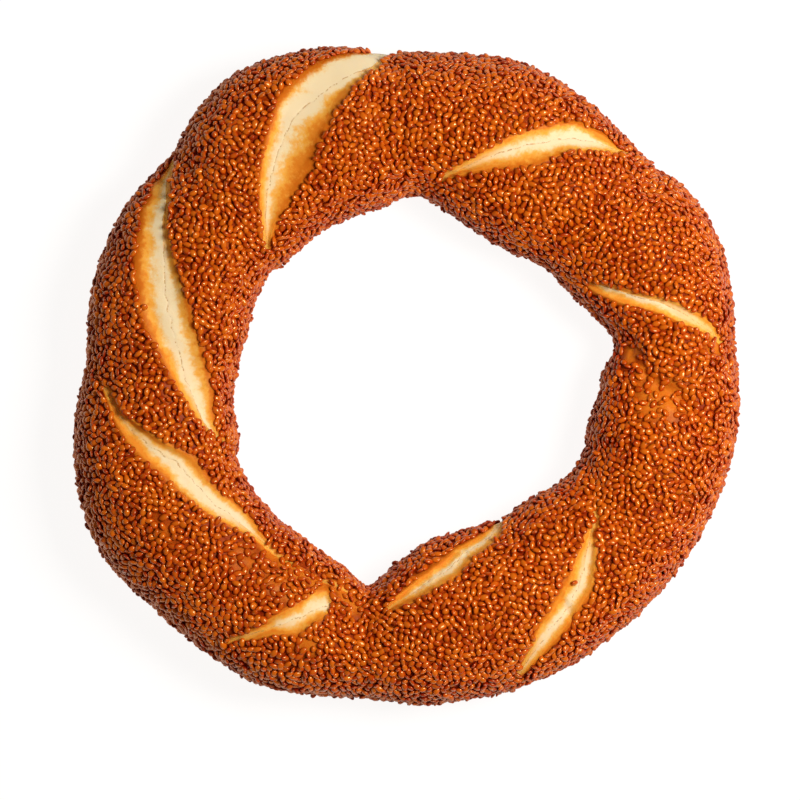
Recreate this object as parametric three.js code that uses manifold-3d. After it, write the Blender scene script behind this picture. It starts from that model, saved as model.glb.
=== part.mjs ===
// A twisted sesame bread ring: two ropes of dough wound round each other, joined end to end into a
// ring, rolled in sesame and baked in one piece, so it is one solid body.
// Millimetres, +Z up. The ring lies flat on its baked underside with the origin at the centre of
// its footprint. Angles run anticlockwise from +X when seen from above.
import * as THREE from "three";
import Module from "manifold-3d";

// Overall section of the rope.
const BELLY_HEIGHT = 15.0; // height of the widest part of the rope above the tray
const CROWN_RISE = 19.6; // from the belly up to the crown, for a rope of ordinary thickness
const UNDERSIDE_DROP = 17.6; // from the belly down to where a round underside would have reached
const ORDINARY_HALF_WIDTH = 22.0; // half the width of the rope where it is neither swollen nor pinched
const SWELL_POWER = 0.45; // how far the height follows the width
const SEED_COAT = 0.5; // how far the seeds stand out beyond the two edges given below

// The valley that follows each seam between the two strands.
const SEAM_CREASE_DEPTH = 2.1;
const SEAM_CREASE_REACH = 3.2; // distance from the seam at which the crease has mostly died away
const SEAM_HOLLOW_DEPTH = 2.4;
const SEAM_HOLLOW_REACH = 10.5;
const SEAM_SLANT = 0.7; // the seams cross the rope at a slant, which shortens distances across them

// Fineness of the faceted surface.
const STEPS_ROUND_RING = 104;
const STEPS_PER_STRAND = 18;
const SPACING_EASE = 0.55; // gathers the facets towards the seams

// Edge of the hole as [angle in degrees, distance from the centre]. The hole is pinched out into
// small corners wherever a seam runs over into it, most deeply where the rope ends were joined.
const HOLE_EDGE = [
  [0, 55.2], [9, 60.0], [16, 56.2], [24, 52.8], [40, 49.0], [56, 45.2], [72, 46.8], [87, 51.2],
  [103, 47.4], [120, 47.5], [136, 46.9], [144, 49.0], [165, 46.4], [180, 47.8], [192, 49.9],
  [207, 53.3], [236, 54.1], [250, 56.4], [259, 59.9], [268, 51.8], [280, 46.2], [293, 46.3],
  [312, 48.7], [334, 53.8], [346, 53.0],
];

// Outer rim in the same form. It swells where a strand crosses it and dips where a seam does.
const RIM_EDGE = [
  [0, 94.3], [14, 94.6], [27, 96.5], [37, 95.4], [43, 92.0], [54, 92.6], [70, 94.9], [90, 91.8],
  [103, 96.0], [118, 98.7], [137, 91.9], [150, 93.5], [163, 92.8], [176, 90.7], [190, 96.3],
  [206, 100.3], [226, 96.8], [243, 97.1], [262, 92.3], [281, 93.0], [300, 94.4], [318, 93.9],
  [340, 95.0],
];

// Where each pass of a seam over the top is: the angle round the ring at which it climbs over the
// rim, the outer shoulder, the crown and the inner shoulder, and where it drops into the hole.
const FIRST_SEAM_PASSES = [
  [92, 102, 120, 136, 142],
  [176, 183, 197, 240, 262],
  [285, 297, 315, 330, 336],
  [362, 368, 374, 384, 395],
];
const SECOND_SEAM_PASSES = [
  [137, 145, 165, 193, 206],
  [228, 237, 246, 286, 300],
  [330, 337, 348, 365, 369],
  [403, 411, 424, 440, 447],
];

const FULL_TURN = 360;
const CRUST_COLOUR = "#b5622a";
const CRUST_ROUGHNESS = 0.5;
const CUTTER_MARGIN = 20;

// Slopes for a curve through stations that never overshoots them.
function stationSlopes(stations) {
  const chords = [];
  for (let k = 0; k + 1 < stations.length; k += 1) {
    const rise = stations[k + 1][1] - stations[k][1];
    const run = stations[k + 1][0] - stations[k][0];
    chords.push(rise / run);
  }
  const slopes = [chords[0]];
  for (let k = 1; k < chords.length; k += 1) {
    const before = chords[k - 1];
    const after = chords[k];
    const sameWay = before * after > 0;
    slopes.push(sameWay ? (2 * before * after) / (before + after) : 0);
  }
  slopes.push(chords[chords.length - 1]);
  return slopes;
}

// Returns a function that follows the stations smoothly. After each full turn round the ring the
// value has grown by `gain`.
function ringCurve(stations, gain) {
  const first = stations[0][0];
  const laps = [];
  for (const lap of [-1, 0, 1]) {
    for (const [angle, value] of stations) {
      laps.push([angle + lap * FULL_TURN, value + lap * gain]);
    }
  }
  const slopes = stationSlopes(laps);
  return (angle) => {
    const lap = Math.floor((angle - first) / FULL_TURN);
    const local = angle - lap * FULL_TURN;
    let k = 0;
    while (k + 2 < laps.length && laps[k + 1][0] <= local) {
      k += 1;
    }
    const run = laps[k + 1][0] - laps[k][0];
    const t = (local - laps[k][0]) / run;
    const s = 1 - t;
    const value =
      laps[k][1] * (1 + 2 * t) * s * s +
      laps[k + 1][1] * (1 + 2 * s) * t * t +
      (slopes[k] * s - slopes[k + 1] * t) * run * s * t;
    return value + lap * gain;
  };
}

// Turns the passes of one seam into its angle round the rope section: 0 at the rim, 90 on the
// crown, 180 in the hole, and on round the underside to 360 at the next pass.
function seamCurve(passes) {
  const stations = [];
  passes.forEach((pass, turn) => {
    pass.forEach((angle, quarter) => {
      stations.push([angle, turn * FULL_TURN + quarter * 45]);
    });
  });
  return ringCurve(stations, passes.length * FULL_TURN);
}

const holeEdge = ringCurve(HOLE_EDGE, 0);
const rimEdge = ringCurve(RIM_EDGE, 0);
const firstSeam = seamCurve(FIRST_SEAM_PASSES);
const secondSeam = seamCurve(SECOND_SEAM_PASSES);

// Depth of the valley at a given distance from one seam.
function valleyDepth(distance) {
  const crease = SEAM_CREASE_DEPTH * Math.exp(-((distance / SEAM_CREASE_REACH) ** 2));
  const hollow = SEAM_HOLLOW_DEPTH * Math.exp(-((distance / SEAM_HOLLOW_REACH) ** 2));
  return crease + hollow;
}

// Shortest distance between two angles round the section, in degrees.
function angleApart(a, b) {
  const gap = Math.abs(a - b) % FULL_TURN;
  return Math.min(gap, FULL_TURN - gap);
}

// One point of the crust, from the angle round the ring and the angle round the rope section.
function crustPoint(ringAngle, sectionAngle) {
  const hole = holeEdge(ringAngle) - SEED_COAT;
  const rim = rimEdge(ringAngle) + SEED_COAT;
  const middle = (hole + rim) / 2;
  const halfWidth = (rim - hole) / 2;
  const turn = THREE.MathUtils.degToRad(sectionAngle);
  const swell = (halfWidth / ORDINARY_HALF_WIDTH) ** SWELL_POWER;
  const rise = Math.sin(turn) > 0 ? CROWN_RISE * swell : UNDERSIDE_DROP;
  let valley = 0;
  for (const seam of [firstSeam, secondSeam]) {
    const apart = THREE.MathUtils.degToRad(angleApart(sectionAngle, seam(ringAngle)));
    valley += valleyDepth(apart * halfWidth * SEAM_SLANT);
  }
  // The dips in the rim and in the hole edge already hold the seams' own notches there.
  const shrink = 1 - (valley / halfWidth) * Math.abs(Math.sin(turn));
  const reach = middle + halfWidth * shrink * Math.cos(turn);
  const heading = THREE.MathUtils.degToRad(ringAngle);
  return new THREE.Vector3(
    reach * Math.cos(heading),
    reach * Math.sin(heading),
    BELLY_HEIGHT + rise * shrink * Math.sin(turn),
  );
}

// Evenly stepped fraction, drawn in towards both of its ends.
function gathered(fraction) {
  const eased = (1 - Math.cos(Math.PI * fraction)) / 2;
  return fraction + (eased - fraction) * SPACING_EASE;
}

// The whole rope as a closed tube whose facet lines run along both seams.
function ropeTube() {
  const around = 2 * STEPS_PER_STRAND;
  const positions = [];
  for (let i = 0; i < STEPS_ROUND_RING; i += 1) {
    const ringAngle = (i / STEPS_ROUND_RING) * FULL_TURN;
    const start = secondSeam(ringAngle);
    const end = firstSeam(ringAngle);
    for (let j = 0; j < around; j += 1) {
      const onFirstStrand = j < STEPS_PER_STRAND;
      const fraction = gathered((j % STEPS_PER_STRAND) / STEPS_PER_STRAND);
      const from = onFirstStrand ? start : end;
      const to = onFirstStrand ? end : start + FULL_TURN;
      const point = crustPoint(ringAngle, from + (to - from) * fraction);
      positions.push(point.x, point.y, point.z);
    }
  }
  const indices = [];
  for (let i = 0; i < STEPS_ROUND_RING; i += 1) {
    const here = i * around;
    const next = ((i + 1) % STEPS_ROUND_RING) * around;
    for (let j = 0; j < around; j += 1) {
      const side = (j + 1) % around;
      indices.push(here + j, next + j, here + side);
      indices.push(next + j, next + side, here + side);
    }
  }
  return { positions, indices };
}

const wasm = await Module();
wasm.setup();

// A faceted solid from plain lists of corners and triangles.
function solidFrom(positions, indices) {
  const mesh = new wasm.Mesh({
    numProp: 3,
    vertProperties: Float32Array.from(positions),
    triVerts: Uint32Array.from(indices),
  });
  return new wasm.Manifold(mesh);
}

// A block, used to cut the baked underside flat.
function block(width, depth, height, centreZ) {
  const box = new THREE.BoxGeometry(width, depth, height);
  box.translate(0, 0, centreZ);
  box.deleteAttribute("uv");
  box.deleteAttribute("normal");
  const spots = box.getAttribute("position");
  const corners = new Map();
  const positions = [];
  const indices = [];
  for (const k of box.index.array) {
    const key = [spots.getX(k), spots.getY(k), spots.getZ(k)].join(",");
    if (!corners.has(key)) {
      corners.set(key, positions.length / 3);
      positions.push(spots.getX(k), spots.getY(k), spots.getZ(k));
    }
    indices.push(corners.get(key));
  }
  return solidFrom(positions, indices);
}

// Shapes the ring, flattens its underside at z = 0 and centres its footprint on the origin.
function breadRingGeometry() {
  const tube = ropeTube();
  const rope = solidFrom(tube.positions, tube.indices);
  const span = 2 * (Math.max(...RIM_EDGE.map(([, distance]) => distance)) + CUTTER_MARGIN);
  const tray = block(span, span, CUTTER_MARGIN, -CUTTER_MARGIN / 2);
  const baked = rope.subtract(tray).getMesh();
  const geometry = new THREE.BufferGeometry();
  geometry.setAttribute("position", new THREE.BufferAttribute(baked.vertProperties, 3));
  geometry.setIndex(new THREE.BufferAttribute(baked.triVerts, 1));
  geometry.computeBoundingBox();
  const box = geometry.boundingBox;
  geometry.translate(-(box.min.x + box.max.x) / 2, -(box.min.y + box.max.y) / 2, 0);
  geometry.computeVertexNormals();
  return geometry;
}

const crust = new THREE.MeshStandardMaterial({
  color: CRUST_COLOUR,
  roughness: CRUST_ROUGHNESS,
  metalness: 0,
});
const breadRing = new THREE.Mesh(breadRingGeometry(), crust);
breadRing.name = "bread_ring";

const ring = new THREE.Group();
ring.name = "twisted_sesame_bread_ring";
ring.add(breadRing);

export default ring;
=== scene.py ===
# %% [markdown]
# # A twisted sesame bread ring
# Two ropes of dough are wound round each other, joined into a ring, dipped in syrup, rolled in
# sesame and baked hard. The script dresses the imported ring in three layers, the way the baker
# does: the dough, the splits where the rising crumb burst the crust, and the seeds.

import math

import bmesh
import bpy
import numpy as np
from mathutils import Matrix, Vector
from mathutils.bvhtree import BVHTree
from mathutils.kdtree import KDTree


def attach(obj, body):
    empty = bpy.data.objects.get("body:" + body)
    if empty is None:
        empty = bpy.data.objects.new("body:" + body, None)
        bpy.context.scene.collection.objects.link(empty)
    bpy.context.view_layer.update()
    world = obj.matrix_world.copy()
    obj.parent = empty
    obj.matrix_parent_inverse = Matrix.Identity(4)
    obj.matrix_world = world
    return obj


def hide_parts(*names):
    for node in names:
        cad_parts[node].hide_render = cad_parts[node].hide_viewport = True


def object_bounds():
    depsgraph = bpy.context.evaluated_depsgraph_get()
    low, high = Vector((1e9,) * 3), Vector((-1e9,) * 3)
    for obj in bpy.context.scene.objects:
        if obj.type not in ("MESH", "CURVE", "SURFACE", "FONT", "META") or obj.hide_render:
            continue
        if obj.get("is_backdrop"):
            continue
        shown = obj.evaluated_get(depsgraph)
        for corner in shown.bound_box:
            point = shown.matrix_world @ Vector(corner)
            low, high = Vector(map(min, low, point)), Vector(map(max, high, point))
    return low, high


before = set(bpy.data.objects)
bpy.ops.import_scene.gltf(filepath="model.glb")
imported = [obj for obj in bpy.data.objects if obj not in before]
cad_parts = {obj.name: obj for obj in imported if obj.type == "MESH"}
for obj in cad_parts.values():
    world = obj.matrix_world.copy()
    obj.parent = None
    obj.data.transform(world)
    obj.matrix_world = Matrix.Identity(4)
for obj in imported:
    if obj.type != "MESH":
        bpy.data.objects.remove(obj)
cad_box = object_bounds()
MM = 0.001
print("ring box in mm:", [[round(v / MM, 1) for v in corner] for corner in cad_box])

# %% [markdown]
# ## Camera
# The ring lies flat and is seen from straight above. A long lens far away keeps the near crown
# and the lower rim at almost one scale, as a product shot does.

# %% Camera
VIEW_HEIGHT = 2400 * MM  # of the camera above the tray
BELLY_HEIGHT = 15.0 * MM  # height of the widest part of the rope
VIEW_WIDTH = 226.6 * MM  # what the frame takes in at that height
SENSOR_WIDTH = 36.0
FARTHEST_SEEN = 20.0
CAMERA_PLACE = (-1.9 * MM, -6.8 * MM, VIEW_HEIGHT)

camera_data = bpy.data.cameras.new("overhead_camera")
camera_data.sensor_width = SENSOR_WIDTH
camera_data.lens = SENSOR_WIDTH * (VIEW_HEIGHT - BELLY_HEIGHT) / VIEW_WIDTH
camera_data.clip_end = FARTHEST_SEEN
camera = bpy.data.objects.new("overhead_camera", camera_data)
camera.location = CAMERA_PLACE
bpy.context.scene.collection.objects.link(camera)
bpy.context.scene.camera = camera
print("lens in mm:", round(camera_data.lens, 1))

# %% [markdown]
# ## Light
# Crust glitters because every seed is a tiny mirror. One soft square lamp, high up on the right,
# gives each seed a small highlight and leaves the left flanks of the rope in soft shade, so the
# twist reads. A dim warm room fills the rest.

# %% Light
LAMP_PLACE = (0.36, 0.07, 0.60)
LAMP_AIM = (0.0, 0.0, 0.02)
LAMP_SIDE = 0.27
LAMP_WATTS = 5.5
ROOM_COLOUR = (1.0, 0.85, 0.62, 1.0)
ROOM_STRENGTH = 0.12
bpy.context.scene.view_settings.view_transform = "Standard"


def soft_lamp(name, place, aim, side, watts):
    """A square soft box that looks from its place towards a point."""
    data = bpy.data.lights.new(name, "AREA")
    data.shape = "SQUARE"
    data.size = side
    data.energy = watts
    lamp = bpy.data.objects.new(name, data)
    lamp.location = place
    towards = Vector(aim) - Vector(place)
    lamp.rotation_euler = towards.to_track_quat("-Z", "Y").to_euler()
    bpy.context.scene.collection.objects.link(lamp)


soft_lamp("key_softbox", LAMP_PLACE, LAMP_AIM, LAMP_SIDE, LAMP_WATTS)
room = bpy.data.worlds.new("pale_room")
room.use_nodes = True
backdrop = room.node_tree.nodes["Background"]
backdrop.inputs["Color"].default_value = ROOM_COLOUR
backdrop.inputs["Strength"].default_value = ROOM_STRENGTH
bpy.context.scene.world = room

# %% [markdown]
# ## Where things are on the ring
# A place on the crust is given by two angles: the ring angle, anticlockwise from +X seen from
# above, and the section angle, 0 at the outer rim, 90 on the crown and 180 in the hole. Smooth
# curves through a few stations say how wide the rope is and how the seams wander over it.

# %% A smooth curve through stations round the ring
FULL_TURN = 360.0


def ring_curve(stations, gain=0.0):
    """A function of the ring angle that never overshoots its stations, and repeats each turn."""
    marks = np.array(stations, float)
    laps = np.vstack([marks + (lap * FULL_TURN, lap * gain) for lap in (-1, 0, 1)])
    at, value = laps[:, 0], laps[:, 1]
    chord = np.diff(value) / np.diff(at)
    before, after = chord[:-1], chord[1:]
    same_way = before * after > 0
    inner = np.where(same_way, 2 * before * after / np.where(same_way, before + after, 1), 0)
    slope = np.concatenate(([chord[0]], inner, [chord[-1]]))

    def follow(angle):
        lap = np.floor((angle - marks[0, 0]) / FULL_TURN)
        local = angle - lap * FULL_TURN
        k = np.clip(np.searchsorted(at, local, side="right") - 1, 0, len(at) - 2)
        run = at[k + 1] - at[k]
        t = (local - at[k]) / run
        s = 1 - t
        bend = (slope[k] * s - slope[k + 1] * t) * run * s * t
        return (value[k] * (1 + 2 * t) * s * s + value[k + 1] * (1 + 2 * s) * t * t
                + bend + lap * gain)

    return follow


# %% The two edges of the rope, as ring angle and distance from the middle in mm
HOLE_EDGE = [
    (0, 55.5), (9, 59.8), (16, 56.9), (24, 52.8), (40, 49.1), (56, 45.1), (72, 46.8), (87, 51.3),
    (103, 47.8), (120, 47.4), (136, 46.8), (144, 48.5), (165, 46.8), (180, 48.4), (192, 49.9),
    (200, 50.5), (207, 53.9), (236, 54.5), (250, 56.2), (259, 60.4), (268, 52.6), (280, 46.8),
    (293, 46.4), (301, 48.1), (312, 48.8), (334, 54.7), (346, 53.8),
]
RIM_EDGE = [
    (0, 94.0), (5, 93.3), (14, 94.9), (27, 96.6), (35, 94.6), (40, 91.4), (46, 91.7), (54, 92.8),
    (70, 94.4), (80, 92.5), (90, 91.5), (103, 95.5), (118, 98.1), (128, 95.6), (137, 91.0),
    (150, 92.9), (163, 92.5), (176, 90.7), (190, 95.3), (202, 98.9), (210, 99.8), (226, 96.7),
    (243, 96.8), (262, 92.0), (281, 93.5), (300, 94.0), (318, 94.1), (340, 95.1),
]
hole_edge = ring_curve(HOLE_EDGE)
rim_edge = ring_curve(RIM_EDGE)

# %% [markdown]
# ## The seams and their splits
# Each of the two seams winds four times round the rope. Where a seam crosses the top, the oven
# spring has torn it open, and only one pass has stayed shut. A station of a seam is its ring
# angle, its section angle, and how far the bare crumb reaches from it towards the rim and towards
# the hole, in mm.

# %% The passes of each seam over the top, in order round the ring
WEST_SPLIT = [
    (90, -24, 1.4, 0.5), (92, 0, 3.6, 0.8), (94, 14, 6.2, 1.2), (96.5, 38, 8.5, 1.2),
    (101.5, 51, 8.2, 3.6), (107, 62.5, 8.2, 6.3), (113, 74, 6.4, 8.8), (118.5, 87, 3.8, 8.0),
    (124.5, 101, 2.6, 5.6), (132.5, 121, 1.3, 1.9), (138, 139, 0.6, 0.5), (143, 180, 0.0, 0.0),
]
LONG_SPLIT = [
    (135.5, 0, 0.6, 0.6), (138, 18, 1.1, 1.1), (141.5, 34, 2.5, 1.2), (144, 50, 5.2, 0.8),
    (147.5, 60, 6.6, 1.0), (151, 68.5, 6.4, 1.7), (158, 81, 7.1, 3.8), (166.5, 93, 6.5, 5.3),
    (176, 106, 3.8, 5.7), (186.5, 122, 1.7, 4.5), (197.5, 139, 0.5, 1.3), (206, 180, 0.0, 0.0),
]
SOUTH_WEST_SPLIT = [
    (175, 0, 0.0, 0.0), (182, 46, 0.8, 0.6), (187.5, 63, 1.2, 1.2), (195.5, 88, 2.6, 2.3),
    (206.5, 116, 3.7, 3.2), (213, 121.5, 3.0, 3.8), (219.5, 128, 2.1, 4.0), (228, 131.5, 0.8, 1.2),
    (240, 132.5, 0.6, 0.6), (252, 139, 0.6, 0.5), (259, 147, 0.0, 0.0), (263, 180, 0.0, 0.0),
]
JOINED_SPLIT = [
    (229, 0, 0.0, 0.0), (237.5, 54, 0.8, 0.8), (241.5, 75.5, 1.4, 2.0), (246, 94.5, 2.6, 3.2),
    (248.5, 106, 3.6, 3.8), (250.7, 112, 2.9, 3.0), (252.5, 113, 0.0, 0.0), (263, 114, 0.0, 0.0),
    (266, 116, 0.8, 1.2), (273, 121.5, 2.3, 2.5), (281, 128, 2.5, 3.2), (289, 140.5, 2.8, 2.8),
    (294, 145.5, 2.4, 2.4), (299.5, 156, 1.8, 1.8), (303.5, 180, 1.3, 1.3), (306, 212, 0.0, 0.0),
]
SOUTH_EAST_SPLIT = [
    (285, 0, 0.0, 0.0), (293.5, 43, 1.7, 1.1), (299, 58, 2.7, 2.6), (302.5, 64, 2.5, 3.0),
    (306.5, 71, 2.5, 3.3), (310, 77, 2.7, 2.6), (314, 88, 2.5, 1.6), (317.5, 97, 1.8, 1.0),
    (322, 107.5, 1.1, 0.6), (330, 133.5, 0.3, 0.3), (336, 180, 0.0, 0.0),
]
# The pass that stayed shut.
HEALED_SPLIT = [
    (336, 0, 0.0, 0.0), (347, 45, 0.0, 0.0), (353, 72, 0.0, 0.0), (355.5, 84, 0.0, 0.0),
    (358, 102, 0.0, 0.0), (361.5, 117, 0.0, 0.0), (366.2, 136.4, 0.0, 0.0), (370.5, 158, 0.0, 0.0),
    (373, 180, 0.0, 0.0),
]
EAST_SPLIT = [
    (362, 0, 0.0, 0.0), (367, 43, 0.8, 0.8), (369.7, 61, 1.5, 1.5), (372.2, 77, 1.8, 1.9),
    (375.6, 93, 1.5, 2.5), (379.5, 112.5, 0.9, 2.8), (383.4, 127, 1.0, 2.3), (386, 137, 0.8, 1.4),
    (389, 147.5, 0.5, 0.6), (393, 158, 0.3, 0.3), (396, 180, 0.0, 0.0),
]
NORTH_EAST_SPLIT = [
    (402, 0, 0.0, 0.0), (406, 33, 0.7, 0.8), (410.5, 45, 2.7, 2.2), (415.5, 59, 4.0, 3.3),
    (420, 74.5, 3.7, 3.9), (425, 89, 2.9, 3.0), (429, 100, 1.7, 2.2), (433, 111, 1.0, 1.5),
    (439, 130, 0.7, 1.0), (442, 145.5, 0.4, 0.4), (447, 180, 0.0, 0.0),
]
FIRST_SEAM = [WEST_SPLIT, SOUTH_WEST_SPLIT, SOUTH_EAST_SPLIT, EAST_SPLIT]
SECOND_SEAM = [LONG_SPLIT, JOINED_SPLIT, HEALED_SPLIT, NORTH_EAST_SPLIT]


class Seam:
    """Where a seam is, and how wide it is torn open on either side, at each ring angle."""

    SLOPE_STEP = 0.5  # degrees on either side of a place between which its slope is taken

    def __init__(self, passes):
        rows = [(at, section + turn * FULL_TURN, to_rim, to_hole)
                for turn, split in enumerate(passes)
                for at, section, to_rim, to_hole in split]
        self.section = ring_curve([(r[0], r[1]) for r in rows], len(passes) * FULL_TURN)
        self.to_rim = ring_curve([(r[0], r[2]) for r in rows])
        self.to_hole = ring_curve([(r[0], r[3]) for r in rows])

    def slope(self, ring_angle):
        """Degrees round the section for each degree round the ring."""
        ahead = self.section(ring_angle + self.SLOPE_STEP)
        behind = self.section(ring_angle - self.SLOPE_STEP)
        return (ahead - behind) / (2 * self.SLOPE_STEP)


seams = [Seam(FIRST_SEAM), Seam(SECOND_SEAM)]
print("turns of each seam:", [len(FIRST_SEAM), len(SECOND_SEAM)])

# %% [markdown]
# ## The dough
# The rope could be drawn as a curve with a round profile, but a twisted, split rope is no round
# tube. So a circle is spun into a plain ring, which gives tidy rows of faces, and every point is
# then moved to its place on the crust. The rows follow both seams and crowd towards them, so the
# splits get fine faces and the seeded crust, which is hidden, gets few.

# %% A plain ring of dough, spun from a circle
STEPS_ROUND_RING = 800
STEPS_PER_STRAND = 60
SIDES = 2 * STEPS_PER_STRAND
PLAIN_RADIUS = 73 * MM
PLAIN_SECTION = 20 * MM


def put_in_order(form):
    """Sort edges and faces by their corners. An operator may hand them over in any order, and
    the seeds are sown by the number of a face, so each run would sow them differently."""
    form.verts.index_update()
    count = len(form.verts)

    def by_corners(part):
        corners = sorted(corner.index for corner in part.verts)
        return (corners[0] * count + corners[-1]) * count + corners[1]

    form.edges.sort(key=by_corners)
    form.faces.sort(key=by_corners)


def spun_ring():
    """A torus from a circle turned once round the up axis."""
    form = bmesh.new()
    stand_up = Matrix.Translation((PLAIN_RADIUS, 0, 0)) @ Matrix.Rotation(math.pi / 2, 4, "X")
    bmesh.ops.create_circle(form, segments=SIDES, radius=PLAIN_SECTION, matrix=stand_up)
    bmesh.ops.spin(form, geom=form.verts[:] + form.edges[:], cent=(0, 0, 0), axis=(0, 0, 1),
                   angle=2 * math.pi, steps=STEPS_ROUND_RING, use_merge=True)
    bmesh.ops.recalc_face_normals(form, faces=form.faces[:])
    put_in_order(form)
    mesh = bpy.data.meshes.new("baked_dough")
    form.to_mesh(mesh)
    form.free()
    return mesh


def vertex_places(mesh):
    """Every point of a mesh, one row each."""
    places = np.empty(len(mesh.vertices) * 3)
    mesh.vertices.foreach_get("co", places)
    return places.reshape(-1, 3)


dough_mesh = spun_ring()
plain = vertex_places(dough_mesh)
turn_at = np.degrees(np.arctan2(plain[:, 1], plain[:, 0])) % FULL_TURN
side_at = np.degrees(np.arctan2(plain[:, 2], np.hypot(plain[:, 0], plain[:, 1]) - PLAIN_RADIUS))
ring_step = np.rint(turn_at / FULL_TURN * STEPS_ROUND_RING).astype(int) % STEPS_ROUND_RING
side_step = np.rint(side_at / FULL_TURN * SIDES).astype(int) % SIDES
print("faces of dough:", len(dough_mesh.polygons), "rows found:", len(set(side_step)))

# %% Rows that follow the seams
SPACING_EASE = 0.88  # how strongly the rows gather at the seams


def gathered(fraction):
    """A share of the way from seam to seam, moved towards the nearer seam."""
    eased = (1 - np.cos(np.pi * fraction)) / 2
    return fraction + (eased - fraction) * SPACING_EASE


ring_angle = ring_step * FULL_TURN / STEPS_ROUND_RING
first_at, second_at = (seam.section(ring_angle) for seam in seams)
on_first = side_step < STEPS_PER_STRAND
across = gathered((side_step % STEPS_PER_STRAND) / STEPS_PER_STRAND)
row_from = np.where(on_first, second_at, first_at)
row_to = np.where(on_first, first_at, second_at + FULL_TURN)
section_angle = row_from + (row_to - row_from) * across


# %% Seeded noise that closes round the ring
def ripple(ring, section, seed, waves, finest, roundest):
    """A sum of random waves over the crust, mostly from -1 to 1. A wave runs up to finest times
    round the ring and up to roundest times round the rope, so the sum closes on itself."""
    chance = np.random.default_rng(seed)
    total = np.zeros_like(ring)
    for _ in range(waves):
        along = chance.integers(-finest, finest + 1)
        around = chance.integers(0, roundest + 1)
        shift = chance.uniform(0, 2 * np.pi)
        total += np.sin(np.radians(ring * along + section * around) + shift)
    return total / math.sqrt(waves)


# %% How deep the seams sink into the crust, in mm
CREASE_DEPTH = 1.5  # of the sharp fold where a seam has stayed shut
CREASE_REACH = 2.4
HOLLOW_DEPTH = 1.9  # of the broad valley between the two strands
HOLLOW_REACH = 10.5
SPLIT_DEPTH = 0.95
FULLY_OPEN = 1.2  # a tear wider than this is all split and no crease
NARROWEST = 0.25  # the least tear that distances are measured in
# The floor, the foot of the edge and the lip of a split, in widths of the tear from the seam.
FLOOR_ENDS = 0.5
LIP_AT = 1.3
LIP_SPREAD = 0.35
LIP_HEIGHT = 0.35


def rising(value, low, high):
    """A soft step from 0 to 1."""
    t = np.clip((value - low) / (high - low), 0, 1)
    return t * t * (3 - 2 * t)


def wrapped(angle):
    """The same direction as an angle from -180 to 180."""
    return (angle + FULL_TURN / 2) % FULL_TURN - FULL_TURN / 2


def seam_relief(seam, ring, section, half_width, reach):
    """How far a seam lowers the crust, how far each point is from it, how wide it is torn on that
    side, all in mm, and whether that is the rim's side."""
    offset = wrapped(section - seam.section(ring))
    slant = np.abs(seam.slope(ring)) * half_width / reach
    distance = np.radians(np.abs(offset)) * half_width / np.hypot(1, slant)
    torn = np.where(offset < 0, seam.to_rim(ring), seam.to_hole(ring))
    torn = np.maximum(torn, 0)
    relative = distance / np.maximum(torn, NARROWEST)
    openness = np.clip(torn / FULLY_OPEN, 0, 1)
    crease = CREASE_DEPTH * np.exp(-((distance / CREASE_REACH) ** 2)) * (1 - openness)
    valley = SPLIT_DEPTH * (1 - rising(relative, FLOOR_ENDS, LIP_AT)) * openness
    lip = LIP_HEIGHT * np.exp(-(((relative - LIP_AT) / LIP_SPREAD) ** 2)) * openness
    hollow = HOLLOW_DEPTH * np.exp(-((distance / HOLLOW_REACH) ** 2))
    return crease + valley + hollow - lip, distance, torn, offset < 0


# %% Where the glaze shows between the seeds
# Glazed patches with few seeds: ring angle, section angle, reach round the ring and round the
# rope in mm, and how strong the patch is.
GLAZED_PATCHES = [
    (355.0, 98, 6.5, 8.0, 0.75), (232.0, 130, 4.0, 2.2, 0.9), (239.0, 127, 4.5, 2.2, 0.9),
    (245.5, 130, 4.5, 2.4, 0.8), (252.5, 137, 4.0, 2.4, 0.75), (256.0, 128, 4.5, 3.4, 0.65),
    (249.7, 75, 3.2, 4.5, 0.85), (240.0, 109, 7.0, 4.5, 0.45), (229.5, 108, 6.0, 5.0, 0.4),
    (5.6, 46, 3.2, 4.0, 0.6), (366.0, 137, 3.0, 3.6, 0.85), (361.0, 116, 2.8, 2.6, 0.7),
    (275.0, 128, 6.0, 3.2, 0.7), (283.0, 139, 5.5, 3.0, 0.7), (213.4, 76, 6.0, 3.0, 0.35),
    (118.0, 72, 3.0, 3.0, 0.3),
]


def at_patches(patches):
    """The strongest of several soft round patches at each point of the crust."""
    strength = np.zeros_like(side)
    for at, section, along, around, amount in patches:
        run = np.radians(wrapped(ring_angle - at)) * reach / along
        climb = np.radians(wrapped(section_angle - section)) * half_width / around
        strength = np.maximum(strength, amount * np.exp(-((run**2 + climb**2) ** 1.5)))
    return strength


# %% Every point of the dough to its place
CENTRING = (-0.1 * MM, 0.0, 0.0)  # brings the middle of the outline to the origin
SEED_LAYER = 0.90  # the seeds stand this far above the dough
CROWN_RISE = 18.35  # from the belly up to the crown, for a rope of ordinary width
UNDERSIDE_DROP = 16.9  # from the belly down to where a round underside would have reached
ORDINARY_HALF_WIDTH = 22.0
SWELL_POWER = 0.45  # how far the height of the crown follows the width
TRAY_LEVEL = 0.75  # the dough's own underside, held off the tray by its seeds
TRAY_ROUNDING = 0.45  # how softly the side turns under onto the tray
LUMPS = 0.22
DIMPLES = 0.10
BLISTERS = 0.26  # only where the glaze is bare
CRACK_DEPTH = 0.12
CRACK_REACH = 0.22
CRACK_WANDER = 0.3
CRACKED_FROM = 1.0  # the crack starts where the tear is this wide
DASH_SHARE = 0.6  # how much of the crack's length is open
FAR_OFF = 99.0

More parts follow.
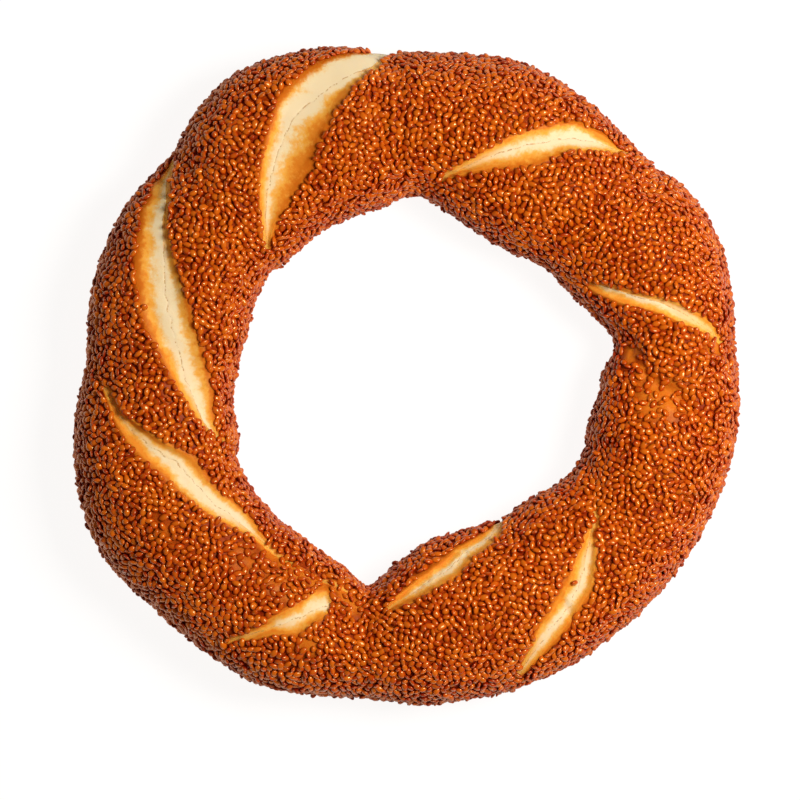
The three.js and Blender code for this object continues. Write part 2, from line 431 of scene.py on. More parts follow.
hole = hole_edge(ring_angle) + SEED_LAYER
rim = rim_edge(ring_angle) - SEED_LAYER
middle = (hole + rim) / 2
half_width = (rim - hole) / 2
side = np.radians(section_angle)
reach = middle + half_width * np.cos(side)
sunk = np.zeros_like(side)
nearest = np.full_like(side, FAR_OFF)
signed = np.full_like(side, FAR_OFF)
torn_there = np.zeros_like(side)
seam_row = np.zeros(len(side), int)
for seam, row in zip(seams, (STEPS_PER_STRAND, 0)):
    relief, distance, torn, rimward = seam_relief(seam, ring_angle, section_angle, half_width,
                                                  reach)
    sunk += relief
    closer = (distance / np.maximum(torn, NARROWEST)
              < nearest / np.maximum(torn_there, NARROWEST))
    nearest = np.where(closer, distance, nearest)
    signed = np.where(closer, np.where(rimward, -distance, distance), signed)
    torn_there = np.where(closer, torn, torn_there)
    seam_row = np.where(closer, row, seam_row)

glazed = at_patches(GLAZED_PATCHES)
on_crust = (ring_angle, section_angle)
along_seam = (ring_angle, section_angle * 0)
unevenness = LUMPS * ripple(*on_crust, seed=3, waves=26, finest=26, roundest=7)
unevenness += DIMPLES * ripple(*on_crust, seed=4, waves=30, finest=70, roundest=18)
unevenness += BLISTERS * glazed * ripple(*on_crust, seed=5, waves=40, finest=150, roundest=45)
swell = (half_width / ORDINARY_HALF_WIDTH) ** SWELL_POWER
rise = np.where(np.sin(side) > 0, CROWN_RISE * swell, UNDERSIDE_DROP)
wander = CRACK_WANDER * ripple(*along_seam, seed=8, waves=24, finest=150, roundest=0)
to_crack = np.abs(signed + wander)
crack = CRACK_DEPTH * np.exp(-((to_crack / CRACK_REACH) ** 2))
crack = crack * np.clip(torn_there - CRACKED_FROM, 0, 1)
dashes = ripple(*along_seam, seed=9, waves=24, finest=300, roundest=0)
dash = np.clip(DASH_SHARE + dashes, 0, 1)
heading = np.radians(ring_angle)
bulge = 1 + unevenness / half_width
out = middle + half_width * bulge * np.cos(side)
height = BELLY_HEIGHT / MM + (rise * bulge - sunk - crack * dash) * np.sin(side)
above = (height - TRAY_LEVEL) / TRAY_ROUNDING
height = TRAY_LEVEL + TRAY_ROUNDING * np.logaddexp(0, above)
shaped = np.column_stack([out * np.cos(heading), out * np.sin(heading), height]) * MM
shaped += CENTRING
dough_mesh.vertices.foreach_set("co", shaped.ravel())
dough_mesh.update()
print("dough box in mm:", (shaped.min(0) / MM).round(1), (shaped.max(0) / MM).round(1))

# %% [markdown]
# ## What the finish needs to know
# The bare crumb is cream in the middle of a split, golden and then orange towards its edges, with
# a thin crack where it tore last. Those follow the splits, so the distance from the seam, in
# widths of the tear, is kept on the mesh with the other things that the material has to read.
# How bare the crust is of seeds is worked out here too, for the sower.


# %% Notes on the mesh for the material
def keep_note(mesh, name, values):
    """One number for each point of a mesh, under a name that a material can read."""
    note = mesh.attributes.new(name, "FLOAT", "POINT")
    note.data.foreach_set("value", np.asarray(values, np.float32))


# Parts of the splits that browned more than the rest, in the same terms as the glazed patches.
BROWNED_PATCHES = [
    (104, 66, 7, 3.5, 0.42), (111, 86, 8, 4.0, 0.42), (118, 102, 8, 3.5, 0.42),
    (125, 113, 7, 3.0, 0.35), (146, 46, 7, 3.5, 0.12), (153, 60, 8, 4.0, 0.12),
    (161, 70, 8, 4.0, 0.15), (169, 82, 8, 4.0, 0.15), (178, 97, 7, 3.0, 0.15),
    (188, 58, 7, 3.5, 0.60), (195, 78, 7, 2.5, 0.50), (241, 72, 6, 3.0, 0.65),
    (249, 98, 5, 3.0, 0.35), (282, 139, 7, 3.2, 0.42), (273, 131, 7, 3.2, 0.45),
    (305, 76, 9, 3.0, 0.45), (317, 101, 8, 2.5, 0.60), (436, 124, 9, 3.0, 0.60),
    (412, 38, 7, 3.0, 0.45), (420, 84, 8, 2.5, 0.20), (156, 90, 8, 3.0, 0.08),
    (166, 105, 8, 3.0, 0.05), (176, 119, 8, 3.0, 0.05), (187, 76, 7, 3.5, 0.60),
    (192, 94, 6, 2.5, 0.50), (201, 114, 7, 2.5, 0.30), (387, 140, 6, 3.0, 0.60),
    (381, 122, 6, 2.5, 0.35), (139, 20, 7, 6.0, 0.35), (142, 38, 6, 4.0, 0.35),
    (290, 150, 6, 3.0, 0.35), (268, 119, 6, 4.0, 0.60),
]
# Parts that stayed creamier than the rest.
CREAMY_PATCHES = [
    (92, 5, 8, 5.0, 0.40), (96, 26, 8, 5.0, 0.45), (101, 40, 8, 5.0, 0.45),
    (106, 50, 8, 4.5, 0.45), (112, 66, 8, 4.0, 0.35), (208, 108, 9, 4.0, 0.30),
    (218, 124, 8, 3.0, 0.25), (413, 50, 8, 4.0, 0.30), (373, 80, 8, 3.0, 0.25),
    (307, 74, 8, 2.0, 0.20), (163, 90, 9, 3.0, 0.20),
]
# Widths in mm.
BAND_WIDTH = 1.35  # of the glazed edge between a split and the first seeds
BAND_TEAR = 0.7  # in a narrower tear than this the band narrows too
SHUT, AJAR = 0.1, 0.5  # a seam torn less than this shows no crumb, and torn more shows it fully
SEEDLESS_FROM, SEEDLESS_FULLY = 0.45, 0.8  # the same for the gap in the seeds
GOLDEN_SHADED_TEAR, CREAM_TEAR = 0.5, 3.0  # a narrow tear is painted golden, partly for browning and partly as painted shade deep in it, and a wide one stays cream
# In widths of the tear.
WIDEST_BAND = 0.6
BARE_TO, SEEDED_FROM = 1.02, 1.12
RAGGEDNESS = 0.05
FARTHEST = 6
SHUT_AWAY = 2  # moves a shut seam this much farther off
NO_CRACK = 9

from_split = nearest / np.maximum(torn_there, NARROWEST)
from_split += SHUT_AWAY * (1 - rising(torn_there, SHUT, AJAR))
ragged = RAGGEDNESS * ripple(*on_crust, seed=11, waves=40, finest=110, roundest=30)
band = np.clip(BAND_WIDTH / np.maximum(torn_there, BAND_TEAR), 0, WIDEST_BAND)
bare = 1 - rising(from_split + ragged - band, BARE_TO, SEEDED_FROM)
bare *= rising(torn_there, SEEDLESS_FROM, SEEDLESS_FULLY)
notes = {
    "from_split": np.minimum(from_split, FARTHEST),
    "edge_band": band,
    "browned": at_patches(BROWNED_PATCHES) - at_patches(CREAMY_PATCHES),
    "crack_gap": np.where(torn_there > AJAR, np.minimum(to_crack, NO_CRACK), NO_CRACK),
    "pale": rising(torn_there, GOLDEN_SHADED_TEAR, CREAM_TEAR),
    "glazed": glazed,
}
for name, values in notes.items():
    keep_note(dough_mesh, name, values)

# A place drawn most of the way to the seam stretches the noise that reads it across the split.
SEAM_SHARE, OWN_SHARE = 0.85, 0.15
at_place = np.empty((STEPS_ROUND_RING, SIDES), int)
at_place[ring_step, side_step] = np.arange(len(shaped))
on_seam = shaped[at_place[ring_step, seam_row]]
drawn_in = (on_seam * SEAM_SHARE + shaped * OWN_SHARE).astype(np.float32)
stretched = dough_mesh.attributes.new("stretched_place", "FLOAT_VECTOR", "POINT")
stretched.data.foreach_set("vector", drawn_in.ravel())
print("share of the crust torn bare:", round(float((bare > 0.5).mean()), 3))

# %% A flat map of the crust, for baking its finish later
face_corners = np.empty(len(dough_mesh.loops), np.int32)
dough_mesh.loops.foreach_get("vertex_index", face_corners)
quads = face_corners.reshape(-1, 4)
flat_ring = ring_step[quads] / STEPS_ROUND_RING
flat_side = side_step[quads] / SIDES
HALF_MAP = 0.5  # a face wider than this crosses the map's cut, so its low corners move past 1
flat_ring += flat_ring.max(1, keepdims=True) - flat_ring > HALF_MAP
flat_side += flat_side.max(1, keepdims=True) - flat_side > HALF_MAP
flat_map = dough_mesh.uv_layers.new(name="OFBake")
flat_map.data.foreach_set("uv", np.stack([flat_ring, flat_side], -1).astype(np.float32).ravel())
for polygon in dough_mesh.polygons:
    polygon.use_smooth = True
baked_dough = bpy.data.objects.new("baked_dough", dough_mesh)
bpy.context.scene.collection.objects.link(baked_dough)
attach(baked_dough, "root")
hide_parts("bread_ring")

# %% [markdown]
# ## Sums on sockets
# A material is a graph of nodes, but its thinking is arithmetic. This small class wraps a socket
# so that a mask can be written as a plain sum, and each operator adds the node that does it.


# %% Sockets that can be added and multiplied
class Value:
    """What comes out of a node: a number, a colour or a place."""

    def __init__(self, shop, socket):
        self.shop = shop
        self.socket = socket

    def math(self, operation, *others):
        return self.shop.node("ShaderNodeMath", {"operation": operation}, [self, *others])

    def __add__(self, other):
        return self.math("ADD", other)

    def __sub__(self, other):
        return self.math("SUBTRACT", other)

    def __mul__(self, other):
        return self.math("MULTIPLY", other)

    def __rsub__(self, other):
        return self.shop.node("ShaderNodeMath", {"operation": "SUBTRACT"}, [other, self])

    __radd__ = __add__
    __rmul__ = __mul__

    def clipped(self):
        return self.shop.node("ShaderNodeClamp", {}, [self])

    def centred(self):
        """Noise lies round a half. This brings it round zero."""
        return self - 0.5

    def step(self, low, high):
        """Rises softly from 0 at low to 1 at high."""
        return self.shop.node("ShaderNodeMapRange", {"interpolation_type": "SMOOTHSTEP"},
                              {"Value": self, "From Min": low, "From Max": high})


class Finish:
    """A material being made, with one method for its nodes."""

    def __init__(self, name):
        self.material = bpy.data.materials.new(name)
        self.material.use_nodes = True
        self.tree = self.material.node_tree
        self.shader = self.tree.nodes["Principled BSDF"]
        self.places = self.node("ShaderNodeTexCoord", {}, {}, "Object")

    def node(self, kind, settings, inputs, output=0):
        """A node with its settings and what goes into it. Gives one of its outputs."""
        made = self.tree.nodes.new(kind)
        for name, setting in settings.items():
            setattr(made, name, setting)
        pairs = inputs.items() if isinstance(inputs, dict) else enumerate(inputs)
        for key, value in pairs:
            self.plug(made.inputs[key], value)
        return Value(self, made.outputs[output])

    def plug(self, socket, value):
        """Links a node's output to a socket, or sets the socket to a number or colour."""
        if isinstance(value, Value):
            self.tree.links.new(value.socket, socket)
        elif isinstance(value, tuple) and len(value) == 3 and socket.type == "RGBA":
            socket.default_value = (*value, 1.0)
        else:
            socket.default_value = value

    def note(self, name, output="Fac"):
        """A note that was kept on the mesh."""
        return self.node("ShaderNodeAttribute", {"attribute_name": name}, {}, output)

    def noise(self, scale, detail=2.0, roughness=0.5, places=None):
        """Clouds with about this many lumps to a metre."""
        inputs = {"Vector": places or self.places, "Scale": scale, "Detail": detail,
                  "Roughness": roughness}
        return self.node("ShaderNodeTexNoise", {"noise_dimensions": "3D"}, inputs, "Fac")

    def blend(self, share, under, over):
        """One colour laid over another. A mix node's colours are its sockets 6 and 7, out of 2."""
        return self.node("ShaderNodeMix", {"data_type": "RGBA"}, {0: share, 6: under, 7: over}, 2)

    def set(self, **sockets):
        """Sets the shader's sockets by name."""
        for name, value in sockets.items():
            self.plug(self.shader.inputs[name.replace("_", " ")], value)


# %% [markdown]
# ## The dough's finish
# Under the seeds the crust is glazed with syrup and baked a deep red brown. In a split the crumb
# never touched the syrup: it is matt and cream, browning to gold and orange where the heat
# reached it. Small noises break up the borders, as blisters and flour do.

# %% Crust and crumb
CREAM = (0.92, 0.73, 0.45)
STRAW = (0.91, 0.59, 0.22)
GOLD = (0.91, 0.42, 0.058)
ORANGE = (0.84, 0.27, 0.022)
AMBER = (0.66, 0.16, 0.008)
CRUST = (0.30, 0.020, 0.0008)
HONEY_CRUST = (0.52, 0.080, 0.002)
GLAZE = (0.70, 0.17, 0.010)
CRACK = (0.56, 0.28, 0.07)
WARM_GLINT = (1.0, 0.84, 0.52, 1.0)
# Where each colour begins across a split and where it has taken over, in widths of the tear.
TO_STRAW = (0.15, 0.80)
TO_GOLD = (0.42, 0.90)
TO_ORANGE = (0.84, 1.22)
# The same for what lies towards the seeds, less the width of the edge band.
TO_AMBER = (0.62, 0.92)
TO_CRUST = (1.0, 1.25)
TO_GLAZE = (0.45, 0.85)
TO_WET = (0.55, 0.9)
EDGE_BREAKUP = 0.35
HONEY_SPOTS = (0.45, 0.65)
HONEY_SHARE = 0.8
GLAZE_GAIN = 1.6
GLAZE_BREAKUP = 0.8
CRACK_LINE = (0.05, 0.24)  # in mm from the middle of the crack
CRACK_BREAKUP = 0.35
CRACK_GAPS = (0.46, 0.54)
CRACK_SHARE = 0.75
FRECKLE_SPOTS = (0.66, 0.74)
FRECKLES_BEGIN = (0.2, 0.8)
FRECKLES_END = (0.8, 1.0)
FRECKLE_SHARE = 0.45
MATT_CRUMB = 0.58
WET_GAIN = 0.18  # how much smoother the glazed crust is

crumb = Finish("crust_and_crumb")
coarse = crumb.noise(scale=260.0, detail=3.0)
flaky = crumb.noise(scale=620.0, detail=3.0, roughness=0.6)
fine = crumb.noise(scale=1400.0, detail=3.0, roughness=0.6)
fibres = crumb.noise(scale=1100.0, detail=3.0, roughness=0.6,
                     places=crumb.note("stretched_place", "Vector"))
mottle = (coarse.centred() * 0.6 + flaky.centred() * 0.9 + fine.centred() * 0.3
          + fibres.centred() * 0.25)
toasted = crumb.note("from_split") + mottle + crumb.note("browned")
edge = crumb.note("from_split") - crumb.note("edge_band") + mottle * EDGE_BREAKUP
colour = crumb.blend(toasted.step(*TO_STRAW), CREAM, STRAW)
# Narrow tears are painted golden: partly browning, partly painted shade for the shade deep inside
# them.
colour = crumb.blend(1 - crumb.note("pale"), colour, GOLD)
colour = crumb.blend(toasted.step(*TO_GOLD), colour, GOLD)
colour = crumb.blend(toasted.step(*TO_ORANGE), colour, ORANGE)
colour = crumb.blend(edge.step(*TO_AMBER), colour, AMBER)
ground = crumb.blend(coarse.step(*HONEY_SPOTS) * HONEY_SHARE, CRUST, HONEY_CRUST)
colour = crumb.blend(edge.step(*TO_CRUST), colour, ground)
syrupy = (crumb.note("glazed") * GLAZE_GAIN + flaky.centred() * GLAZE_BREAKUP).clipped()
colour = crumb.blend(syrupy * edge.step(*TO_GLAZE), colour, GLAZE)
off_crack = crumb.note("crack_gap") + flaky.centred() * CRACK_BREAKUP
line = (1 - off_crack.step(*CRACK_LINE)) * fine.step(*CRACK_GAPS)
colour = crumb.blend(line * CRACK_SHARE, colour, CRACK)
spots = crumb.noise(scale=900.0, detail=1.0).step(*FRECKLE_SPOTS)
freckles = spots * toasted.step(*FRECKLES_BEGIN)
colour = crumb.blend(freckles * FRECKLE_SHARE * (1 - edge.step(*FRECKLES_END)), colour, ORANGE)
pores = crumb.noise(scale=2200.0)
wet = edge.step(*TO_WET)
bump = crumb.node("ShaderNodeBump", {}, {"Strength": 0.4, "Distance": 0.3 * MM,
                                         "Height": coarse * 0.5 + pores * 0.3 + flaky * 0.5})
crumb.set(Base_Color=colour, Roughness=MATT_CRUMB - wet * WET_GAIN, Normal=bump)
crumb.set(Subsurface_Weight=0.55, Subsurface_Scale=1.8 * MM, Subsurface_Radius=(1.0, 0.85, 0.6))
crumb.set(IOR=1.42, Specular_IOR_Level=0.14, Specular_Tint=WARM_GLINT)
dough_mesh.materials.append(crumb.material)
print("nodes in the crust's finish:", len(crumb.tree.nodes))

# %% [markdown]
# ## Sowing the seeds
# The ring was rolled in sesame while it was sticky, so the seeds lie as close as they can, any
# way round, and mostly flat. Random darts are thrown at the crust and one is kept only if no
# other seed is too near. The kept ones are then shuffled apart a little, which gives the even but
# unordered cover of real seeds.

# %% Darts thrown at the crust
SEED_GAP = 1.42 * MM  # the least room between the middles of two darts
DARTS = 300000
GLAZE_THINNING = 0.75  # share of the seeds missing where the glaze is barest
TOO_BARE = 0.45  # a place barer than this takes no seed
STRAY_SEEDS = [(309.2, 80.7), (165.3, 71.7)]  # places in the splits, by ring and section angle
SECTION_WORTH = 0.5  # a degree of the section is a shorter way than a degree of the ring
sower = np.random.default_rng(20)

dough_mesh.calc_loop_triangles()
triangles = np.empty(len(dough_mesh.loop_triangles) * 3, np.int32)
dough_mesh.loop_triangles.foreach_get("vertices", triangles)
triangles = triangles.reshape(-1, 3)
corner = shaped[triangles]
areas = np.linalg.norm(np.cross(corner[:, 1] - corner[:, 0], corner[:, 2] - corner[:, 0]), axis=1)
picked = sower.choice(len(triangles), DARTS, p=areas / areas.sum())
# Two draws give an even scatter over a triangle, as shares of its three corners.
inward, sidelong = np.sqrt(sower.random(DARTS)), sower.random(DARTS)
share = np.stack([1 - inward, inward * (1 - sidelong), inward * sidelong], -1)[:, :, None]
dart_place = (corner[picked] * share).sum(1)


def at_darts(values):
    """What a note on the mesh says where each dart struck."""
    return (values[triangles[picked]] * share[:, :, 0]).sum(1)


dart_bare = at_darts(bare)
dart_glazed = at_darts(glazed)
print("crust in square cm:", round(areas.sum() / 2 / (10 * MM) ** 2, 1))

# %% Keep a dart only where its neighbours leave room
# The kept darts are looked up by cells as wide as the gap, so only the cells around matter.
chance_here = sower.random(DARTS)
welcome = dart_bare < TOO_BARE
cells = {}
kept = []
cells_around = [(a, b, c) for a in (-1, 0, 1) for b in (-1, 0, 1) for c in (-1, 0, 1)]
cell_of = np.floor(dart_place / SEED_GAP).astype(int).tolist()
spots = dart_place.tolist()
for dart in np.flatnonzero(welcome).tolist():
    x, y, z = spots[dart]
    cx, cy, cz = cell_of[dart]
    near = [spots[other] for a, b, c in cells_around
            for other in cells.get((cx + a, cy + b, cz + c), ())]
    if all((px - x) ** 2 + (py - y) ** 2 + (pz - z) ** 2 > SEED_GAP**2 for px, py, pz in near):
        cells.setdefault((cx, cy, cz), []).append(dart)
        kept.append(dart)
kept = [dart for dart in kept if chance_here[dart] > dart_glazed[dart] * GLAZE_THINNING]
for at, section in STRAY_SEEDS:
    round_rope = wrapped(section_angle - section) * SECTION_WORTH
    miss = wrapped(ring_angle - at) ** 2 + round_rope**2
    spot = shaped[np.argmin(miss)]
    kept.append(int(np.argmin(np.linalg.norm(dart_place - spot, axis=1))))
print("seeds sown:", len(kept))

# %% Shuffle the seeds apart
# Each seed edges away from its nearest neighbours, as they do when the ring is rolled and shaken,
# and is set back on the crust. A seed that would slide into a split stays where it was, and so
# does a stray seed in a split.
SHUFFLES = 5
NEIGHBOURS = 7
ELBOW_ROOM = 2.06 * MM  # neighbours nearer than this are pushed away
SHUFFLE_STEP = 0.32  # share of what is missing that one shuffle makes up
HARDLY_GLAZED = 0.15  # seeds don't slide onto a patch that is glazed more than this

normals = np.empty(len(dough_mesh.vertices) * 3)
dough_mesh.vertices.foreach_get("normal", normals)
normals = normals.reshape(-1, 3)
crust_tree = BVHTree.FromPolygons(shaped.tolist(), quads.tolist())
seed_place = dart_place[kept]
face_bare = bare[quads].mean(1)
face_glazed = glazed[quads].mean(1)
face_up = normals[quads].mean(1)
seed_face = np.array([crust_tree.find_nearest(spot)[2] for spot in seed_place.tolist()])
for _ in range(SHUFFLES):
    crowd = KDTree(len(seed_place))
    for number, spot in enumerate(seed_place.tolist()):
        crowd.insert(spot, number)
    crowd.balance()
    near = np.array([[found[1] for found in crowd.find_n(spot, NEIGHBOURS + 1)[1:]]
                     for spot in seed_place.tolist()])
    away = seed_place[:, None] - seed_place[near]
    gap = np.linalg.norm(away, axis=2, keepdims=True)
    push = (away / gap * np.maximum(ELBOW_ROOM - gap, 0)).sum(1) * SHUFFLE_STEP
    found = [crust_tree.find_nearest(spot) for spot in (seed_place + push).tolist()]
    spots_now = np.array([tuple(hit[0]) for hit in found])
    faces_now = np.array([hit[2] for hit in found])
    calm = (face_bare[faces_now] < TOO_BARE) & (face_bare[seed_face] < TOO_BARE)
    calm &= face_glazed[faces_now] <= np.maximum(face_glazed[seed_face], HARDLY_GLAZED)
    seed_place = np.where(calm[:, None], spots_now, seed_place)
    seed_face = np.where(calm, faces_now, seed_face)
seed_up = face_up[seed_face]
seed_up /= np.linalg.norm(seed_up, axis=1, keepdims=True)
print("typical room between seeds in mm:", round(float(np.median(gap[:, 0])) / MM, 2))

# %% [markdown]
# ## One sesame seed
# A seed is a flattened drop, blunt at one end. It is drawn once, with few faces because it is
# used thousands of times, and then pressed into the crust wherever a seed was sown.

# %% The seed's own form
SEED_LENGTH = 2.70 * MM
SEED_WIDTH = 1.98 * MM
SEED_THICKNESS = 1.2 * MM
SEED_SIDES = 7
SEED_BANDS = 5
POINTEDNESS = 0.24  # how much narrower the front end is
POINT_POWER = 1.5
TAPER = 0.04  # a slight widening towards the front, which the pinch overtakes at its end
THINNING = 0.12  # how much flatter the front end is


def seed_form():
    """A ball turned to lie along X, its front end pinched, and pressed flat."""
    form = bmesh.new()
    lie_down = Matrix.Rotation(math.pi / 2, 4, "Y")
    bmesh.ops.create_uvsphere(form, u_segments=SEED_SIDES, v_segments=SEED_BANDS, radius=1.0,
                              matrix=lie_down)
    for vertex in form.verts:
        along = vertex.co.x
        pinch = 1 - POINTEDNESS * max(along, 0) ** POINT_POWER + TAPER * along
        vertex.co.y *= pinch
        vertex.co.z *= 1 - THINNING * max(along, 0)
    bmesh.ops.scale(form, vec=(SEED_LENGTH / 2, SEED_WIDTH / 2, SEED_THICKNESS / 2),
                    verts=form.verts[:])
    bmesh.ops.recalc_face_normals(form, faces=form.faces[:])
    put_in_order(form)
    mesh = bpy.data.meshes.new("one_seed")
    form.to_mesh(mesh)
    form.free()
    return mesh


one_seed = seed_form()
seed_points = vertex_places(one_seed)
print("points and faces of a seed:", len(one_seed.vertices), len(one_seed.polygons))

# %% How each seed lies
NOD_SPREAD, MOST_NOD = 0.38, 0.8  # of the tilt of its front end up or down, in radians
ROLL_SPREAD, MOST_ROLL = 0.45, 0.9  # of its tilt to the side
SIZE_SPREAD, LEAST_SIZE, MOST_SIZE = 0.12, 0.72, 1.3
LIFT, LIFT_SPREAD = 0.34, 0.10  # of its middle above the dough, in mm
TILT_LIFT = 0.25  # the more for each radian that it is tilted
SUNK_IN_GLAZE = 0.75  # share of the lift lost where the glaze is thickest
FLAT_BELOW = 1.6 * MM  # seeds this near the tray were pressed flat by it
FREE_ABOVE = 3.5 * MM
NEARLY_UPRIGHT = 0.9
PALE_PULL, DARK_PULL = 2.2, 2.6  # how the toasting is spread between pale and dark seeds

count = len(seed_place)
up = seed_up
spin = sower.uniform(0, 2 * np.pi, count)
helper = np.where(np.abs(up[:, 2:]) < NEARLY_UPRIGHT, [[0.0, 0.0, 1.0]], [[1.0, 0.0, 0.0]])
east = np.cross(helper, up)
east /= np.linalg.norm(east, axis=1, keepdims=True)
north = np.cross(up, east)
lengthways = east * np.cos(spin)[:, None] + north * np.sin(spin)[:, None]
sideways = np.cross(up, lengthways)
freedom = rising(seed_place[:, 2], FLAT_BELOW, FREE_ABOVE)
nod = np.clip(sower.normal(0, NOD_SPREAD, count), -MOST_NOD, MOST_NOD) * freedom
roll = np.clip(sower.normal(0, ROLL_SPREAD, count), -MOST_ROLL, MOST_ROLL) * freedom
lengthways = lengthways * np.cos(nod)[:, None] + up * np.sin(nod)[:, None]
thickways = np.cross(lengthways, sideways)
leaned = sideways * np.cos(roll)[:, None] + thickways * np.sin(roll)[:, None]
thickways = np.cross(lengthways, leaned)
size = np.clip(sower.normal(1.0, SIZE_SPREAD, (count, 3)), LEAST_SIZE, MOST_SIZE)
tilt = np.abs(nod) + np.abs(roll)
lift = (LIFT + LIFT_SPREAD * sower.standard_normal(count) + TILT_LIFT * tilt) * MM
lift *= 1 - SUNK_IN_GLAZE * np.minimum(face_glazed[seed_face], 1)
middle_at = seed_place + up * lift[:, None]
toast = np.clip(sower.beta(PALE_PULL, DARK_PULL, count), 0, 1)

# %% The seeds in sectors of the ring
SECTORS = 10
sector_angle = FULL_TURN / SECTORS
seed_ring_angle = np.degrees(np.arctan2(middle_at[:, 1], middle_at[:, 0])) % FULL_TURN
sector_of = (seed_ring_angle // sector_angle).astype(int)
corner_of = np.empty(len(one_seed.loops), np.int32)
one_seed.loops.foreach_get("vertex_index", corner_of)
upper = np.array([polygon.center.z > 0 for polygon in one_seed.polygons
                  for _ in range(polygon.loop_total)])
seed_box = np.abs(seed_points).max(0)
rise_note = (seed_points[:, 2] / seed_box[2] + 1) / 2

# Each seed has a cell of the flat map, its top face in the left half and its underside in the
# right. The margins keep neighbours apart.
HALF_CELL = 0.5
MAP_HALF_LENGTH = 0.22
MAP_HALF_WIDTH = 0.44
local = seed_points[corner_of][:, :2] / seed_box[:2]
cell_u = HALF_CELL / 2 + MAP_HALF_LENGTH * local[:, 0] + np.where(upper, 0.0, HALF_CELL)
cell_v = HALF_CELL + MAP_HALF_WIDTH * local[:, 1]

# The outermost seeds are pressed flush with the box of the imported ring.
BOX_GAP = 0.02 * MM
room_low = np.array(cad_box[0]) + BOX_GAP
room_high = np.array(cad_box[1]) - BOX_GAP


def sown_sector(number):
    """All the seeds of one sector as one mesh, copied from the one seed."""
    chosen = np.flatnonzero(sector_of == number)
    form = bmesh.new()
    for _ in chosen:
        form.from_mesh(one_seed)
    mesh = bpy.data.meshes.new(f"sesame_{number + 1}")
    form.to_mesh(mesh)
    form.free()
    drawn = seed_points[None] * size[chosen][:, None, :]
    places = (drawn[..., :1] * lengthways[chosen][:, None] + drawn[..., 1:2]
              * leaned[chosen][:, None] + drawn[..., 2:] * thickways[chosen][:, None]
              + middle_at[chosen][:, None])
    places = np.clip(places, room_low, room_high)
    mesh.vertices.foreach_set("co", places.ravel())
    keep_note(mesh, "toast", np.repeat(toast[chosen], len(seed_points)))
    keep_note(mesh, "rise", np.tile(rise_note, len(chosen)))
    grid = math.ceil(math.sqrt(len(chosen)))
    order = np.arange(len(chosen))
    u = ((order % grid)[:, None] + cell_u[None]) / grid
    v = ((order // grid)[:, None] + cell_v[None]) / grid
    layer = mesh.uv_layers.new(name="OFBake")
    layer.data.foreach_set("uv", np.stack([u, v], -1).astype(np.float32).ravel())
    mesh.polygons.foreach_set("use_smooth", np.ones(len(mesh.polygons), bool))
    mesh.update()
    return mesh


# %% [markdown]
# ## The seeds' finish
# Toasted sesame under syrup runs from amber to red brown from seed to seed. Each is painted darker
# low down, partly for the pooled syrup and partly as painted shade from its neighbours, painted
# lighter and golden on top as painted light from above, and glossy on top.

# %% Toasted, glazed sesame
PALE_SEED = (0.68, 0.112, 0.003)
AMBER_SEED = (0.57, 0.048, 0.0007)
BROWN_SEED = (0.42, 0.025, 0.0004)
SYRUP_AND_SHADE = (0.23, 0.006, 0.0002)
LIT_GOLDEN_TOP = (0.72, 0.18, 0.007)
SEED_GLINT = (0.95, 0.96, 0.46, 1.0)
DRY_BELOW = 16 * MM  # seeds low on the rope caught less syrup and are less glossy
GLOSSY_ABOVE = 25 * MM
BATCH_SPREAD = 0.7  # how much the toasting differs from place to place on the ring
SPECKLE_SPREAD = 0.3
# Where each colour begins and where it has taken over, from pale to dark.
TO_AMBER_SEED = (0.15, 0.65)
TO_BROWN_SEED = (0.5, 0.95)
# The same from the foot of a seed, at 0, to its top, at 1.
OUT_OF_SYRUP_AND_SHADE = (0.15, 0.8)
TO_LIT_GOLDEN_TOP = (0.72, 1.0)
LIT_TOP_SHARE = 0.42
OFF_FLANK = (0.35, 0.85)
SMOOTHEST = 0.12
SPECKLE_ROUGHNESS = 0.18
FLANK_ROUGHNESS = 0.15
DRY_ROUGHNESS = 0.32

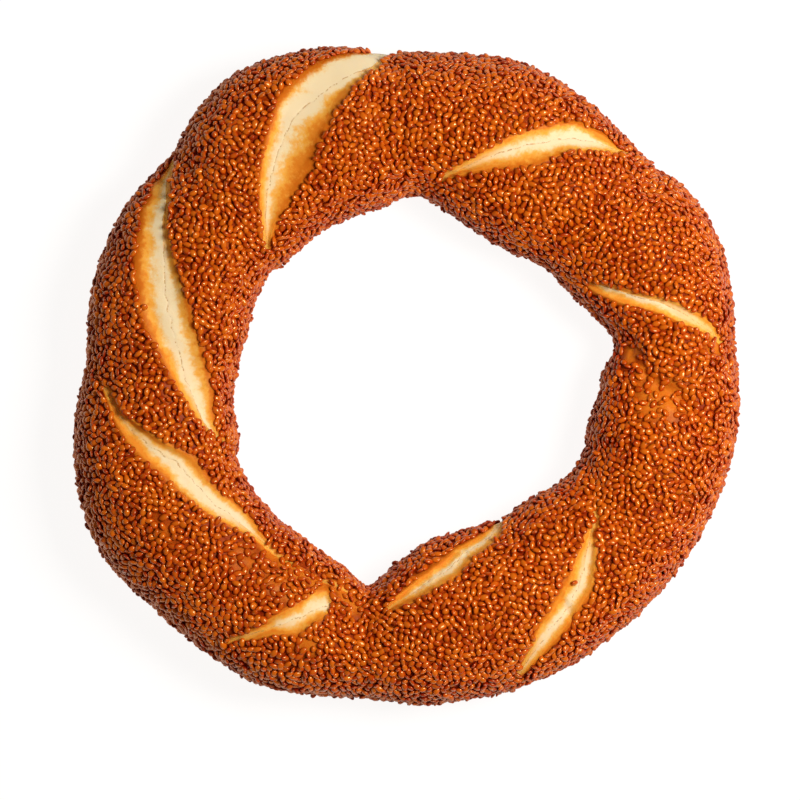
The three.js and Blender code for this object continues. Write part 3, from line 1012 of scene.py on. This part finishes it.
sesame = Finish("toasted_sesame")
batch = sesame.noise(scale=38.0)
speckle = sesame.noise(scale=1500.0)
shade = (sesame.note("toast") + batch.centred() * BATCH_SPREAD
         + speckle.centred() * SPECKLE_SPREAD)
colour = sesame.blend(shade.step(*TO_AMBER_SEED), PALE_SEED, AMBER_SEED)
colour = sesame.blend(shade.step(*TO_BROWN_SEED), colour, BROWN_SEED)
# Each seed is painted lighter and golden towards its top: painted light from the lamp above.
lit_top = sesame.note("rise").step(*TO_LIT_GOLDEN_TOP) * LIT_TOP_SHARE
colour = sesame.blend(lit_top, colour, LIT_GOLDEN_TOP)
# The foot of each seed is painted darker, partly for the syrup pooled there and partly as painted
# shade from its neighbours.
in_syrup_and_shade = 1 - sesame.note("rise").step(*OUT_OF_SYRUP_AND_SHADE)
colour = sesame.blend(in_syrup_and_shade, colour, SYRUP_AND_SHADE)
bump = sesame.node("ShaderNodeBump", {}, {"Strength": 0.25, "Distance": 0.1 * MM,
                                          "Height": speckle})
flank = 1 - sesame.note("rise").step(*OFF_FLANK)
up_the_rope = sesame.node("ShaderNodeSeparateXYZ", {}, [sesame.places], "Z")
dryness = 1 - up_the_rope.step(DRY_BELOW, GLOSSY_ABOVE)
roughness = (SMOOTHEST + speckle * SPECKLE_ROUGHNESS + flank * FLANK_ROUGHNESS
             + dryness * DRY_ROUGHNESS)
sesame.set(Base_Color=colour, Roughness=roughness, Normal=bump)
sesame.set(IOR=1.5, Specular_IOR_Level=0.72, Specular_Tint=SEED_GLINT)

for number in range(SECTORS):
    sector = bpy.data.objects.new(f"sesame_{number + 1}", sown_sector(number))
    sector.data.materials.append(sesame.material)
    bpy.context.scene.collection.objects.link(sector)
    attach(sector, "root")
    print(sector.name, "faces:", len(sector.data.polygons))
bpy.data.meshes.remove(one_seed)

# %% [markdown]
# ## The table
# A plain, nearly white table, wide enough for every view. It glows a little of its own, so that
# it stays pale however far the lamp is from it.

# %% Table
TABLE_HALF = 1.5
TABLE_PAINT = (0.12, 0.12, 0.12)
TABLE_GRAIN = (0.13, 0.13, 0.13)
TABLE_GLOW = (1.0, 0.99, 0.98)
GLOW_STRENGTH = 0.93


def table_top():
    """One flat square, level with the underside of the ring."""
    form = bmesh.new()
    bmesh.ops.create_grid(form, x_segments=1, y_segments=1, size=TABLE_HALF)
    mesh = bpy.data.meshes.new("pale_table")
    form.to_mesh(mesh)
    form.free()
    return mesh


paint = Finish("pale_table_paint")
grain = paint.noise(scale=9.0)
paint.set(Base_Color=paint.blend(grain, TABLE_PAINT, TABLE_GRAIN), Roughness=0.9)
paint.set(Emission_Color=TABLE_GLOW, Emission_Strength=GLOW_STRENGTH, Specular_IOR_Level=0.0)
table = bpy.data.objects.new("pale_table", table_top())
table.data.materials.append(paint.material)
bpy.context.scene.collection.objects.link(table)
table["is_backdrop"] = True

visual_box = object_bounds()
sizes = {"cad": [list(c) for c in cad_box], "visual": [list(c) for c in visual_box]}
print("CAD box and visual box in mm:")
for label, box in sizes.items():
    print(label, [[round(v / MM, 2) for v in corner] for corner in box])
